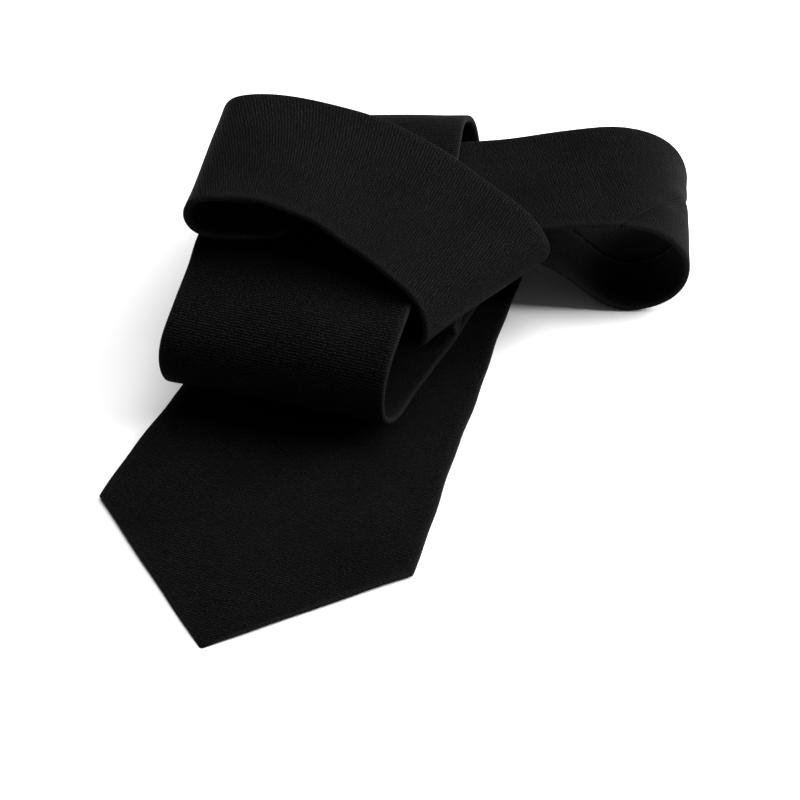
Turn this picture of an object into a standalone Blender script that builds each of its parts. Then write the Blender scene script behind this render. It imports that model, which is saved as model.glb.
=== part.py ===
"""Gentleman's necktie, loosely rolled, with its wide blade lying flat in front.

The tie is one long flat tube of cloth. It is built as a tie is sewn: three shell
panels folded round an interlining, joined by two piecing seams, closed down the back
by a slip stitch, lined at both pointed ends, with a keeper loop, label, care tag and
bar tacks. Every piece follows the same route, so all of them stay nested.

Units: metres in Blender. The driving dimensions and the route are in millimetres.
Frame: +Z up, the table is z = 0, the blade's tip points to -Y.
"""
import math

import bpy
import numpy as np

MM = 0.001

# ---------------------------------------------------------------- driving dimensions
BLADE_TIP_LENGTH = 40.5      # tip to the blade's two corners
TAIL_TIP_LENGTH = 25.0       # tip to the tail's two corners
TIP_WIDTH = 1.5              # width left at each point, where the hem turns

TIE_THICKNESS = 1.8          # face to back flap
CLOTH = 0.35                 # shell cloth
INTERLINING = 0.5            # charcoal wool-blend interlining
EDGE_ROUND = 0.5             # how round the two folded edges are
SEAM_SLIT = 1.0              # between the two back flaps, closed by the slip stitch
HEM = 11.0                   # hem turned in round each pointed end
FLAPS_MEET = 112.0           # from either tip to where the back flaps meet
BLADE_HEIGHT = 2.0           # height the route gives to the middle of the flat blade
FOOTPRINT_SHIFT = (-0.1, -7.3)  # brings the middle of the footprint to the origin

GAP = 0.3                    # between sewn pieces
THREAD = 0.3                 # thickness of a run of thread
LINING = 0.3                 # tipping cloth

BLADE_NECK_SEAM = 625.0      # along the tie, from the blade's tip
NECK_TAIL_SEAM = 830.0
INTERLINING_SEAM = 690.0
INTERLINING_INSET = 1.6      # from the folded edge

KEEPER_AT = 232.0            # along the tie, from the blade's tip
KEEPER_SIZE = (32.0, 9.0)    # across the tie, along the tie
KEEPER_ARCH = 0.6            # room under the middle of the keeper for the tail
KEEPER_STEPS = 10            # pieces in the arch
LABEL_AT = 264.0
LABEL_SIZE = (36.0, 22.0)
CARE_TAG_AT = 288.0
CARE_TAG_SIZE = (16.0, 10.0)
BAR_TACK_LENGTH = 1.5        # along the tie
BAR_TACK_AT = 4.0            # short of where the flaps meet
TIPPING_STOPS = 8.0          # short of where the flaps meet
TIPPING_SETBACK = 2.0        # from the hem at the point to the lining
STITCH_SETBACK = 0.5         # from the hem at the point to the hem stitch
SLIP_STITCH_SETBACK = 1.0    # past where the flaps meet
SHARP_EDGE = math.radians(35)  # edges bent more than this stay crisp

# width of the finished tie along its length: (distance from the blade's tip, width)
WIDTHS = [
    (BLADE_TIP_LENGTH, 90.0), (95, 82.5), (150, 75.0), (205, 67.5), (260, 64.5),
    (300, 63.0), (345, 64.0), (400, 67.0), (485, 67.0), (540, 62.0), (590, 57.0),
    (640, 53.0), (700, 50.0), (735, 46.0), (785, 43.0), (885, 44.5), (995, 45.5),
    (1045, 49.0), (1095, 51.0), (1250, 52.0),
]

BEND_STEPS = 4               # route points in a half turn, less one
SAMPLES = 16                 # fine samples between two route points
ROW_BEND = math.radians(16)  # a new cross-section at least every so much bend,
ROW_SWING = math.radians(9)  # every so much swing of the across line,
ROW_LENGTH = 16.0            # and every so many millimetres
ROW_SPACING = 0.4            # never closer together than this
ROW_SEARCH = 0.1             # steps in which the bend is added up


# ---------------------------------------------------------------- route of the tie
def station(x, y, z, heading, tilt):
    """A point on the tie's middle line, and the line across the tie there.

    heading is the compass heading of the across line, clockwise from +Y, and tilt
    lifts its right-hand end above the level.
    """
    return (x, y, z, heading, tilt)


def bend(x, y, z, heading, radius, swing, rise, drift):
    """Stations of a half turn about a level axis at (x, y, z) that lies along heading.

    The turn swells towards the heading swing. It climbs for rise = +1 and falls for
    rise = -1, and drifts sideways along its axis by drift.
    """
    axis = math.radians(heading)
    out = math.radians(swing)
    stations = []
    for step in range(BEND_STEPS + 1):
        part = step / BEND_STEPS
        reach = radius * math.sin(math.pi * part)
        height = -rise * radius * math.cos(math.pi * part)
        side = drift * (part - 0.5)
        stations.append(station(
            x + reach * math.sin(out) + side * math.sin(axis),
            y + reach * math.cos(out) + side * math.cos(axis),
            z + height, heading, 0))
    return stations


def run(start, end, heading, last_heading, count):
    """Stations along a straight run whose across line swings from one heading to another.

    The across lines all meet in one point beside the run, so they never cross on it.
    """
    x, y, z = start
    dx, dy, dz = (b - a for a, b in zip(start, end))
    travel = math.atan2(dx, dy)
    first, last = (math.remainder(math.radians(h) - travel, 2 * math.pi)
                   for h in (heading, last_heading))
    hand = math.copysign(1.0, first)
    slants = [1 / math.tan(abs(angle)) for angle in (first, last)]
    stations = []
    for step in range(count):
        part = step / (count - 1)
        slant = slants[0] + (slants[1] - slants[0]) * part
        angle = math.degrees(travel + hand * math.atan2(1.0, slant))
        stations.append(station(x + dx * part, y + dy * part, z + dz * part, angle, 0))
    return stations


ROUTE = [
    # blade, flat on the table, face up
    station(-54.2, -95.6, 2.0, 108.9, 0),
    station(-48.8, -76.1, 2.0, 108.9, 0),
    station(-43.5, -56.6, 2.0, 108.9, 0),
    station(-26.3, -7.0, 2.0, 109, 0),
    station(-9.0, 42.6, 2.0, 110, 0),
    station(4.7, 82.2, 2.0, 113, 0),
    # folded back over itself
    *bend(9.7, 94.0, 4.0, 114.5, 1.9, 24.5, +1, 0.0),
    station(4.4, 81.4, 5.9, 114, 0),
    station(-11.0, 46.6, 5.9, 111.5, 0),
    station(-26.5, 13.0, 6.1, 107, -1),
    # front roll, up and back
    station(-34.0, -3.7, 6.9, 104.5, -2.5),
    station(-38.2, -13.4, 10.5, 104, -2.5),
    station(-39.9, -17.3, 18.1, 104, -2),
    station(-39.3, -16.0, 27.9, 104, -1),
    station(-35.9, -8.9, 34.6, 104, 0),
    station(-32.4, 3.7, 37.4, 103.5, 0),
    # over the top to the back roll, and down behind
    station(-25.5, 37.3, 38.9, 100, 0),
    station(-19.8, 62.5, 39.7, 95, 0),
    *bend(-14.3, 82.5, 25.2, 91, 14.9, 4, -1, 9.5),
    # inner turns, folded to and fro inside the roll
    *run((-10.9, 71.5, 10.2), (-16.8, 30.0, 9.9), 97, 101, 5),
    *bend(-17.6, 24.5, 11.5, 101, 1.6, 191, +1, 0.0),
    *run((-16.2, 30.0, 13.1), (-7.3, 65.6, 13.1), 101, 104, 4),
    *bend(-6.0, 71.1, 14.7, 104, 1.6, 14, +1, 0.0),
    *run((-7.3, 65.6, 16.3), (-18.5, 21.0, 16.3), 104, 104, 5),
    *bend(-19.8, 15.8, 17.9, 104, 1.6, 194, +1, 0.0),
    # slanting fold that turns the tie to the right
    *run((-18.8, 19.8, 19.5), (-9.8, 55.9, 19.5), 104, 55, 7),
    *bend(-8.7, 60.4, 21.3, 55, 1.8, -35, +1, 0.0),
    # side loop: out along the table, round, and back above
    *run((-3.5, 60.4, 23.1), (35.0, 60.0, 22.6), 55, 5, 7),
    station(42.0, 59.8, 20.0, 5, 0),
    station(50.8, 59.8, 12.6, 5, 0),
    station(57.8, 59.8, 4.7, 5, 0),
    station(66.2, 59.8, 1.1, 5, 0),
    station(76.0, 59.8, 3.6, 5, 0),
    station(82.3, 59.8, 10.5, 5, 1),
    station(83.6, 59.8, 19.1, 5, 3),
    station(80.0, 59.8, 27.5, 5, 5),
    station(71.8, 59.8, 34.2, 5, 6),
    station(60.0, 59.8, 36.2, 5, 6),
    station(41.1, 59.8, 34.0, 5, 4),
    station(21.2, 59.9, 31.8, 4, 0),
    station(-4.0, 59.4, 32.0, 3, 0),
    station(-22.9, 56.7, 32.6, 8, 0),
    station(-34.5, 54.1, 33.0, 15, 0),
    *bend(-41.8, 52.0, 30.3, 18.5, 2.5, 288.5, -1, 0.0),
    # out to the front right corner and up over the roll
    station(-33.4, 48.3, 27.7, 20, 0),
    station(-14.5, 38.9, 27.7, 32, 0),
    station(0.2, 30.5, 27.3, 38, 2),
    station(9.7, 22.4, 25.0, 44, 6),
    station(15.5, 16.2, 23.5, 47, 7),
    station(19.9, 12.0, 26.5, 47.5, 6),
    station(21.4, 10.8, 32.8, 47, 4),
    station(17.4, 13.6, 41.2, 46, -1),
    station(9.4, 18.9, 44.6, 44, 0),
    # top band, across to the left
    station(-2.4, 27.9, 49.0, 38, 0),
    station(-16.6, 37.8, 53.3, 30, 0),
    station(-33.4, 42.8, 56.5, 21, 0),
    station(-45.0, 44.6, 57.3, 14, 0),
    *bend(-53.4, 44.4, 50.6, 9, 6.9, 279, -1, 0.0),
    # tail, tucked back under the top band
    station(-45.0, 44.8, 43.7, 8, 0),
    station(-35.5, 46.0, 43.7, 4, 0),
    station(-23.9, 48.2, 43.7, -1, 0),
    station(-12.4, 50.6, 43.7, -4, 0),
]


class TiePath:
    """The smooth middle surface of the tie, addressed by distance from the blade's tip."""

    def __init__(self, route):
        keys = np.array(route, dtype=float)
        keys[:, 3] = np.degrees(np.unwrap(np.radians(keys[:, 3])))
        first = 2 * keys[0] - keys[1]
        last = 2 * keys[-1] - keys[-2]
        keys = np.vstack([first, keys, last])
        fine = [self.spline(keys[i - 1:i + 3], step / SAMPLES)
                for i in range(1, len(keys) - 2) for step in range(SAMPLES)]
        fine.append(keys[-2])
        fine = np.array(fine)
        self.points = fine[:, :3]
        tangents = np.gradient(self.points, axis=0)
        self.tangents = tangents / np.linalg.norm(tangents, axis=1)[:, None]
        heading = np.radians(fine[:, 3])
        tilt = np.radians(fine[:, 4])
        self.across = np.stack([np.sin(heading) * np.cos(tilt),
                                np.cos(heading) * np.cos(tilt), np.sin(tilt)], axis=1)
        steps = np.linalg.norm(np.diff(self.points, axis=0), axis=1)
        self.distance = np.concatenate([[0.0], np.cumsum(steps)])
        self.length = float(self.distance[-1])
        self.shared = self.all_rows()

    @staticmethod
    def spline(keys, t):
        """Uniform cubic B-spline through the four keys of one span."""
        weights = ((1 - t) ** 3, 3 * t ** 3 - 6 * t ** 2 + 4,
                   -3 * t ** 3 + 3 * t ** 2 + 3 * t + 1, t ** 3)
        return sum(w / 6 * key for w, key in zip(weights, keys))

    def sample(self, values, s):
        return np.array([np.interp(s, self.distance, values[:, k]) for k in range(3)])

    def directions(self, s):
        """Unit vectors along the tie and across it at distance s."""
        tangent = self.sample(self.tangents, s)
        across = self.sample(self.across, s)
        return tangent / np.linalg.norm(tangent), across / np.linalg.norm(across)

    def frame(self, s):
        """Point, across direction and face normal at distance s; across is scaled so
        that one unit of it is one unit of width, even where it slants."""
        tangent, across = self.directions(s)
        normal = np.cross(across, tangent)
        square = np.linalg.norm(normal)
        return self.sample(self.points, s), across / square, normal / square

    def half_width(self, s):
        """Half of the finished width, down to a blunt point at either end."""
        from_end = self.length - s
        along, widths = zip(*WIDTHS)
        width = float(np.interp(s, along, widths))
        if s < BLADE_TIP_LENGTH:
            width = TIP_WIDTH + (width - TIP_WIDTH) * s / BLADE_TIP_LENGTH
        if from_end < TAIL_TIP_LENGTH:
            width = TIP_WIDTH + (width - TIP_WIDTH) * from_end / TAIL_TIP_LENGTH
        return width / 2

    def all_rows(self):
        """Distances of the cross-sections every piece shares, closer together in bends."""
        marks = [0.0, BLADE_TIP_LENGTH, FLAPS_MEET, self.length - FLAPS_MEET,
                 self.length - TAIL_TIP_LENGTH, self.length]
        rows = list(marks)
        last = 0.0
        turned = 0.0
        previous = self.directions(0.0)
        for s in np.arange(ROW_SEARCH, self.length, ROW_SEARCH):
            directions = self.directions(s)
            bent, swung = (math.acos(min(1.0, float(a @ b)))
                           for a, b in zip(directions, previous))
            turned += bent / ROW_BEND + swung / ROW_SWING
            previous = directions
            if min(abs(s - mark) for mark in marks) < ROW_SPACING:
                continue
            if turned > 1.0 or s - last > ROW_LENGTH:
                rows.append(float(s))
                last = s
                turned = 0.0
        return sorted(rows)

    def rows(self, start, end):
        """The shared cross-sections between start and end, and one at either end."""
        inner = [s for s in self.shared if start + ROW_SPACING < s < end - ROW_SPACING]
        return [start, *inner, end]


PATH = TiePath(ROUTE)
BACK = -TIE_THICKNESS / 2    # off the middle surface, the outside of the back flaps


def flap_gap(s):
    """Half of the opening between the two back flaps: the hem at the pointed ends."""
    from_tip = min(s, PATH.length - s)
    closed = SEAM_SLIT / 2
    hemmed = max(closed, PATH.half_width(s) - HEM)
    if from_tip >= FLAPS_MEET:
        return closed
    corner = BLADE_TIP_LENGTH if s < PATH.length / 2 else TAIL_TIP_LENGTH
    if from_tip <= corner:
        return hemmed
    part = (from_tip - corner) / (FLAPS_MEET - corner)
    return closed + (hemmed - closed) * (1 - part)


# ---------------------------------------------------------------- mesh helpers
def make_object(name, vertices, faces, material):
    mesh = bpy.data.meshes.new(name)
    mesh.from_pydata([tuple(v) for v in vertices], [], faces)
    mesh.validate()
    mesh.materials.append(material)
    obj = bpy.data.objects.new(name, mesh)
    bpy.context.scene.collection.objects.link(obj)
    mesh.shade_smooth()
    mesh.set_sharp_from_angle(angle=SHARP_EDGE)
    return obj


def make_material(name, colour, roughness):
    material = bpy.data.materials.new(name)
    material.use_nodes = True
    shader = material.node_tree.nodes["Principled BSDF"]
    shader.inputs["Base Color"].default_value = (*colour, 1.0)
    shader.inputs["Roughness"].default_value = roughness
    shader.inputs["Metallic"].default_value = 0.0
    return material


def sweep(name, rows, outline, material):
    """Solid swept along the tie; outline(s) gives (across, off) pairs in millimetres,
    anticlockwise seen with the face up, looking from the blade's tip."""
    vertices = []
    for s in rows:
        point, across, normal = PATH.frame(s)
        for u, v in outline(s):
            vertices.append((point + across * u + normal * v) * MM)
    count = len(outline(rows[0]))
    faces = []
    for row in range(len(rows) - 1):
        here = row * count
        there = here + count
        section = outline(rows[row])
        for k in range(count):
            nxt = (k + 1) % count
            if section[nxt][0] >= section[k][0]:
                faces.append((here + k, there + k, there + nxt))
                faces.append((here + k, there + nxt, here + nxt))
            else:
                faces.append((here + k, there + k, here + nxt))
                faces.append((there + k, there + nxt, here + nxt))
    faces.append(tuple(range(count)))
    last = (len(rows) - 1) * count
    faces.append(tuple(reversed(range(last, last + count))))
    return make_object(name, vertices, faces, material)


def shell_outline(s):
    """C-shaped wall: face, two folded edges, and two back flaps that stop at the slit."""
    half = PATH.half_width(s)
    top = TIE_THICKNESS / 2
    flat = half - EDGE_ROUND
    low = top - EDGE_ROUND
    gap = min(flap_gap(s), flat - ROW_SPACING / 4)
    side = flat - CLOTH / 4
    inner = top - CLOTH
    outside = [(gap, -top), (flat, -top), (half, -low), (half, low), (flat, top),
               (flat / 2, top), (0, top), (-flat / 2, top),
               (-flat, top), (-half, low), (-half, -low), (-flat, -top), (-gap, -top)]
    inside = [(-gap, -inner), (-side, -inner), (-side, inner), (-flat / 2, inner),
              (0, inner), (flat / 2, inner), (side, inner), (side, -inner), (gap, -inner)]
    return outside + inside


def slab_outline(half, low, high):
    """Flat strip from low to high off the middle surface."""
    return [(-half, low), (half, low), (half, high), (-half, high)]


def ribbon_outline(s):
    half = max(0.5, PATH.half_width(s) - INTERLINING_INSET)
    deep = INTERLINING / 2
    columns = [half * k / 2 for k in range(-2, 3)]
    return [(u, -deep) for u in columns] + [(u, deep) for u in reversed(columns)]


def tipping_outline(s):
    """Lining set between the two hems, one run of thread short of them."""
    half = flap_gap(s) - 2 * GAP - THREAD
    return slab_outline(half, BACK, BACK + LINING)


def stitch_outline(s):
    """Thread that fills the opening between the back flaps."""
    return slab_outline(flap_gap(s) - GAP, BACK, BACK + THREAD)


# ---------------------------------------------------------------- sewn-on pieces
def patch(name, at, size, low, high, material):
    """Flat piece lying on the tie's back: size is (across, along)."""
    across, along = size
    rows = np.linspace(at - along / 2, at + along / 2, 4)
    return sweep(name, rows, lambda s: slab_outline(across / 2, low, high), material)


def keeper(name, at, size, material):
    """Arched strip across the back, with room for the tail to slide through."""
    across, along = size
    foot = BACK - GAP
    under = []
    for k in range(KEEPER_STEPS + 1):
        u = across * (k / KEEPER_STEPS - 0.5)
        lift = KEEPER_ARCH * math.sin(math.pi * k / KEEPER_STEPS)
        under.append((u, foot - lift))
    outer = [(u, v - CLOTH) for u, v in under]
    outline = outer + list(reversed(under))
    rows = np.linspace(at - along / 2, at + along / 2, 4)
    return sweep(name, rows, lambda s: outline, material)


def hem_stitch(name, rows, material):
    """Thread in the join between hem and lining: up one side, round the point, back."""
    inset = GAP + THREAD / 2
    stops = [(s, 1) for s in reversed(rows)] + [(s, -1) for s in rows]
    line = []
    for s, side in stops:
        point, across, normal = PATH.frame(s)
        line.append((point + across * side * (flap_gap(s) - inset), normal))
    vertices = []
    for k, (centre, normal) in enumerate(line):
        run = line[min(k + 1, len(line) - 1)][0] - line[max(k - 1, 0)][0]
        side = np.cross(run / np.linalg.norm(run), normal)
        for u, v in slab_outline(THREAD / 2, BACK, BACK + THREAD):
            vertices.append((centre + side * u + normal * v) * MM)
    faces = []
    for k in range(0, 4 * len(line) - 4, 4):
        for a in range(4):
            b = (a + 1) % 4
            faces.append((k + a, k + 4 + a, k + 4 + b, k + b))
    last = 4 * len(line) - 4
    faces.append((0, 1, 2, 3))
    faces.append((last + 3, last + 2, last + 1, last))
    return make_object(name, vertices, faces, material)


def build_shell(materials):
    seam = THREAD / 2 + GAP
    panels = (("blade_shell", 0.0, BLADE_NECK_SEAM - seam),
              ("neck_shell", BLADE_NECK_SEAM + seam, NECK_TAIL_SEAM - seam),
              ("tail_shell", NECK_TAIL_SEAM + seam, PATH.length))
    pieces = [sweep(name, PATH.rows(start, end), shell_outline, materials["shell_cloth"])
              for name, start, end in panels]
    for name, at in (("blade_neck_seam", BLADE_NECK_SEAM), ("neck_tail_seam", NECK_TAIL_SEAM)):
        rows = [at - THREAD / 2, at + THREAD / 2]
        pieces.append(sweep(name, rows, shell_outline, materials["thread"]))
    return pieces


def build_core(materials):
    seam = THREAD / 2 + GAP
    inset = 2 * INTERLINING_INSET
    blade = sweep("blade_interlining", PATH.rows(inset, INTERLINING_SEAM - seam),
                  ribbon_outline, materials["interlining"])
    tail = sweep("tail_interlining",
                 PATH.rows(INTERLINING_SEAM + seam, PATH.length - inset),
                 ribbon_outline, materials["interlining"])
    rows = [INTERLINING_SEAM - THREAD / 2, INTERLINING_SEAM + THREAD / 2]
    join = sweep("interlining_seam", rows, ribbon_outline, materials["thread"])
    return [blade, tail, join]


def build_tipping(materials):
    far = FLAPS_MEET - TIPPING_STOPS
    near = HEM + TIPPING_SETBACK
    blade = sweep("blade_tipping", PATH.rows(near, far), tipping_outline,
                  materials["lining"])
    tail = sweep("tail_tipping", PATH.rows(PATH.length - far, PATH.length - near),
                 tipping_outline, materials["lining"])
    point = HEM + STITCH_SETBACK
    blade_rows = PATH.rows(point, far)
    tail_rows = PATH.rows(PATH.length - far, PATH.length - point)
    return [blade, tail,
            hem_stitch("blade_hem_stitch", blade_rows, materials["thread"]),
            hem_stitch("tail_hem_stitch", tail_rows[::-1], materials["thread"])]


def build_back_details(materials):
    start = FLAPS_MEET + SLIP_STITCH_SETBACK
    rows = PATH.rows(start, PATH.length - start)
    pieces = [sweep("slip_stitch_thread", rows, stitch_outline, materials["thread"])]
    from_tip = FLAPS_MEET - BAR_TACK_AT
    for name, at in (("blade_bar_tack", from_tip), ("tail_bar_tack", PATH.length - from_tip)):
        rows = [at - BAR_TACK_LENGTH / 2, at + BAR_TACK_LENGTH / 2]
        pieces.append(sweep(name, rows, stitch_outline, materials["thread"]))
    pieces.append(keeper("keeper_loop", KEEPER_AT, KEEPER_SIZE, materials["shell_cloth"]))
    pieces.append(patch("label_patch", LABEL_AT, LABEL_SIZE, BACK - GAP - LINING,
                        BACK - GAP, materials["label"]))
    pieces.append(patch("care_tag", CARE_TAG_AT, CARE_TAG_SIZE, BACK - GAP - LINING,
                        BACK - GAP, materials["label"]))
    return pieces


def main():
    for obj in list(bpy.data.objects):
        bpy.data.objects.remove(obj, do_unlink=True)
    materials = {
        "shell_cloth": make_material("shell_cloth", (0.010, 0.010, 0.012), 0.62),
        "interlining": make_material("interlining", (0.030, 0.030, 0.030), 0.9),
        "lining": make_material("lining", (0.012, 0.012, 0.014), 0.35),
        "thread": make_material("thread", (0.015, 0.015, 0.017), 0.5),
        "label": make_material("label", (0.03, 0.03, 0.035), 0.4),
    }
    frame = bpy.data.objects.new("necktie", None)
    frame.location = (FOOTPRINT_SHIFT[0] * MM, FOOTPRINT_SHIFT[1] * MM,
                      (TIE_THICKNESS / 2 - BLADE_HEIGHT) * MM)
    bpy.context.scene.collection.objects.link(frame)
    pieces = build_shell(materials)
    pieces += build_core(materials)
    pieces += build_tipping(materials)
    pieces += build_back_details(materials)
    for piece in pieces:
        piece.parent = frame


main()
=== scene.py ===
"""Looks of the rolled necktie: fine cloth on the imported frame, stitches, light, camera."""
import math

import bpy
import numpy as np
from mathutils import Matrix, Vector


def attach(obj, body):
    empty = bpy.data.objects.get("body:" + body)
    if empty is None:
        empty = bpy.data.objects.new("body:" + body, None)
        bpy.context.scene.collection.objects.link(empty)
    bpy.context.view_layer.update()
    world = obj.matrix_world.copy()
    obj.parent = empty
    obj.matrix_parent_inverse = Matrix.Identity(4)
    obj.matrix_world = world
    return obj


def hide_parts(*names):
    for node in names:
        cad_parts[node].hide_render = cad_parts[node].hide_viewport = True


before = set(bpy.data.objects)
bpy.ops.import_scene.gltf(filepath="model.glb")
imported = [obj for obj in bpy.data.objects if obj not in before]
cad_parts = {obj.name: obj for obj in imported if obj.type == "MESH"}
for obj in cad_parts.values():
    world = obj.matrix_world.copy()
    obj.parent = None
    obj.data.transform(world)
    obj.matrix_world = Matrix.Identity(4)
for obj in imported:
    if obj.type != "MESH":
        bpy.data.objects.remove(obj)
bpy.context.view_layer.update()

MM = 0.001
BODY = "root"

# ------------------------------------------------------------ the tie's sizes, in mm
BLADE_TIP_LENGTH = 40.5      # tip to the blade's two corners
TAIL_TIP_LENGTH = 25.0       # tip to the tail's two corners
TIP_WIDTH = 0.6              # width left at each point
TIE_THICKNESS = 1.8          # face to back flap
BACK = -TIE_THICKNESS / 2    # off the middle surface, the outside of the back flaps
CLOTH = 0.35                 # shell cloth
INTERLINING = 0.5
SEAM_SLIT = 0.5              # between the two back flaps, closed by the slip stitch
HEM = 11.0                   # hem turned in round each pointed end
FLAPS_MEET = 112.0           # from either tip to where the back flaps meet
GAP = 0.3                    # between sewn pieces
THREAD = 0.3                 # thickness of a run of thread
LINING = 0.3                 # lining and label cloth
BLADE_NECK_SEAM = 625.0      # along the tie, from the blade's tip
NECK_TAIL_SEAM = 832.0
INTERLINING_SEAM = 690.0
SEAM_OPENING = 0.12          # from a piecing seam to the cloth on either side
INTERLINING_INSET = 1.6      # from the folded edge
CORE_LEAST = 0.5             # half width left of the interlining at the points
KEEPER_AT = 232.0            # along the tie, from the blade's tip
KEEPER_SIZE = (32.0, 10.2)   # across the tie, along the tie
KEEPER_ARCH = 0.6            # room under the middle of the keeper for the tail
LABEL_AT = 264.0
LABEL_SIZE = (36.0, 22.0)
CARE_TAG_AT = 288.0
CARE_TAG_SIZE = (16.0, 10.2)
BAR_TACK_AT = 4.0            # short of where the flaps meet
TIPPING_STOPS = 8.0          # short of where the flaps meet
TIPPING_SETBACK = 2.0        # from the hem at the point to the lining
TIPPING_INSET = 0.18         # from the hem at the sides to the lining
TIPPING_LEVEL = 0.08         # off the outside of the back flaps
BLADE_HEIGHT = 2.0           # height the route gives to the middle of the flat blade
FRAME_SHIFT = np.array([-0.1, -7.3, TIE_THICKNESS / 2 - BLADE_HEIGHT])
# widths of the finished tie: distance from the blade's tip, width
WIDTHS = [
    (BLADE_TIP_LENGTH, 90.0), (95, 82.5), (150, 75.0), (205, 67.5), (260, 64.5),
    (300, 63.0), (345, 64.0), (400, 67.0), (485, 67.0), (540, 62.0), (590, 57.0),
    (640, 53.0), (700, 50.0), (735, 46.0), (785, 43.0), (885, 44.5), (995, 45.5),
    (1045, 49.0), (1095, 51.0), (1250, 52.0),
]

# ------------------------------------------------------------ fineness, lengths in mm
BEND_STEPS = 4               # route points in a half turn, less one
SAMPLES = 16                 # fine samples between two route points
ROW_BEND = math.radians(6)   # a new cross-section every so much bend,
ROW_LENGTH = 3.2             # and every so many millimetres
ROW_SEARCH = 0.1             # steps in which the bend is added up
COLUMN = 2.2                 # across the shell, between two columns
SHELL_COLUMNS = 6            # no fewer across a flap
STRIP_COLUMN = COLUMN * 1.4  # across a flat strip, which has less detail
STRIP_COLUMNS = 3            # no fewer across a strip
ARC_STEPS = 7                # round a folded edge
LABEL_ROWS = 13
KEEPER_ROWS = 9
KEEPER_STEPS = 28            # pieces in the arch

# ------------------------------------------------------------ small unevenness, in mm
EDGE_LOFT = 0.28             # the face swells a little beside the folded edges
LOFT_REACH = 5.0
LOFT_FULL = 15.0             # half width from which it swells fully
NARROW_GAP = 0.4             # near the points, the gap between the flaps and the
NARROW_ROUND = 0.45          # roundness of the edges stay these shares of the half width
EDGE_WEAR_AND_HIGHLIGHT = 0.7            # how far wear and a painted edge highlight reach from the folded edges
SEAM_SLANT = -0.93           # the piecing seams run on the bias
SLANT_REACH = 46.0           # and the cross-sections turn with them this far away
SEAM_DIP = 0.28              # the cut edges at a piecing seam turn in by this,
SEAM_DIP_REACH = 0.8         # over this length on either side,
SEAM_DIP_INSIDE = 0.5        # and by this share of it on the inside
SEAM_DEPTH = 0.40            # the seam's stitches below the middle of the cloth
# gentle waves of the whole tie: height, then length and phase along it and across it
WAVES = ((0.15, 7.9, 0.7, 9.3, 0.4), (0.12, 4.1, 1.9, 6.4, 0.8 + math.pi / 2))
SLANT_WAVE = (0.10, 12.7, 8.1)      # height, length along, length across
# at the neck and tail seam: height, reach, length and phase across
PUCKER = (0.28, 6.0, 1.9, 0.6)
LIES_FLAT = 196.0            # the part of the blade that lies on the table
FLAT_FADES = (25.0, 40.0)    # over which the waves start, and the lying ones stop
FLAT_REST = 0.05             # share of the lying waves that stays at LIES_FLAT
LYING_WAVE = (0.10, 9.0, 0.5, 8.0)  # height, length and phase along, length across
LOOP_RESTS = (798.0, 16.0, 0.30)    # the side loop is down on the table: at, reach, depth
TIP_THINS = (0.45, 55.0)     # the pointed ends, without interlining, press thinner
TIP_PINCH = (0.85, 1.5)      # the very point is folded shut
EDGE_WANDERS = ((0.22, 8.6, 1.1), (0.12, 3.3, 0.2))  # height, length, phase
WANDER_FULL = 12.0           # half width from which the edges wander fully

# ------------------------------------------------------------ stitches, in mm
THREAD_SIDES = 6
THREAD_END = 0.55            # share of the thickness left where a thread dives in
FINE_THREAD = THREAD * 0.42  # radii
SLIP_THREAD = THREAD * 0.45
HEAVY_THREAD = THREAD * 0.5
PLY_STEP = 0.1               # cloth distance from one side of a thread to the next
# each kind of stitch lies at a level off the outside of the flaps, and its middle sinks
HEM_STITCH = (3.4, 0.16, 0.05)      # pitch, level, sinking
HEM_STITCH_ENDS = ((0.0, 0.05), (2.1, 0.55))  # along the hem, and in from its edge
HEM_STITCH_SETBACK = (1.5, 2.0)     # from the hem at the point, from the lining's end
SLIP_STITCH = (4.2, 0.2, 0.04)      # pitch, level, sinking
SLIP_STITCH_SIZE = (2.4, 0.42)      # along the tie, to either side of its middle
SLIP_STITCH_SETBACK = (1.0, 3.0)    # past where the flaps meet, at the blade and the tail
TACK = (0.4, 0.24, 0.10)            # pitch, level, sinking
TACK_STITCHES = 9
TACK_OVERLAP = 1.4                  # past the flaps' edges
TACK_SLANT = 0.2
ZIGZAG_POINTS = 40                  # in the stitches that join the interlinings
ZIGZAG = (0.25, 0.15)               # along the tie, through it


# ------------------------------------------------------------ route of the tie
# a station is x, y, z in mm, the heading of the across line and its tilt, in degrees
def station(x, y, z, heading, tilt):
    return (x, y, z, heading, tilt)


def bend(x, y, z, heading, radius, swing, rise, drift):
    """Stations of a half turn about a level axis at (x, y, z) that lies along heading."""
    axis = math.radians(heading)
    out = math.radians(swing)
    stations = []
    for step in range(BEND_STEPS + 1):
        part = step / BEND_STEPS
        reach = radius * math.sin(math.pi * part)
        height = -rise * radius * math.cos(math.pi * part)
        side = drift * (part - 0.5)
        stations.append(station(
            x + reach * math.sin(out) + side * math.sin(axis),
            y + reach * math.cos(out) + side * math.cos(axis),
            z + height, heading, 0))
    return stations


def run(start, end, heading, last_heading, count):
    """Stations along a straight run whose across line swings to another heading."""
    x, y, z = start
    dx, dy, dz = (b - a for a, b in zip(start, end))
    travel = math.atan2(dx, dy)
    first, last = (math.remainder(math.radians(h) - travel, 2 * math.pi)
                   for h in (heading, last_heading))
    hand = math.copysign(1.0, first)
    slants = [1 / math.tan(abs(angle)) for angle in (first, last)]
    stations = []
    for step in range(count):
        part = step / (count - 1)
        slant = slants[0] + (slants[1] - slants[0]) * part
        angle = math.degrees(travel + hand * math.atan2(1.0, slant))
        stations.append(station(x + dx * part, y + dy * part, z + dz * part, angle, 0))
    return stations


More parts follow.
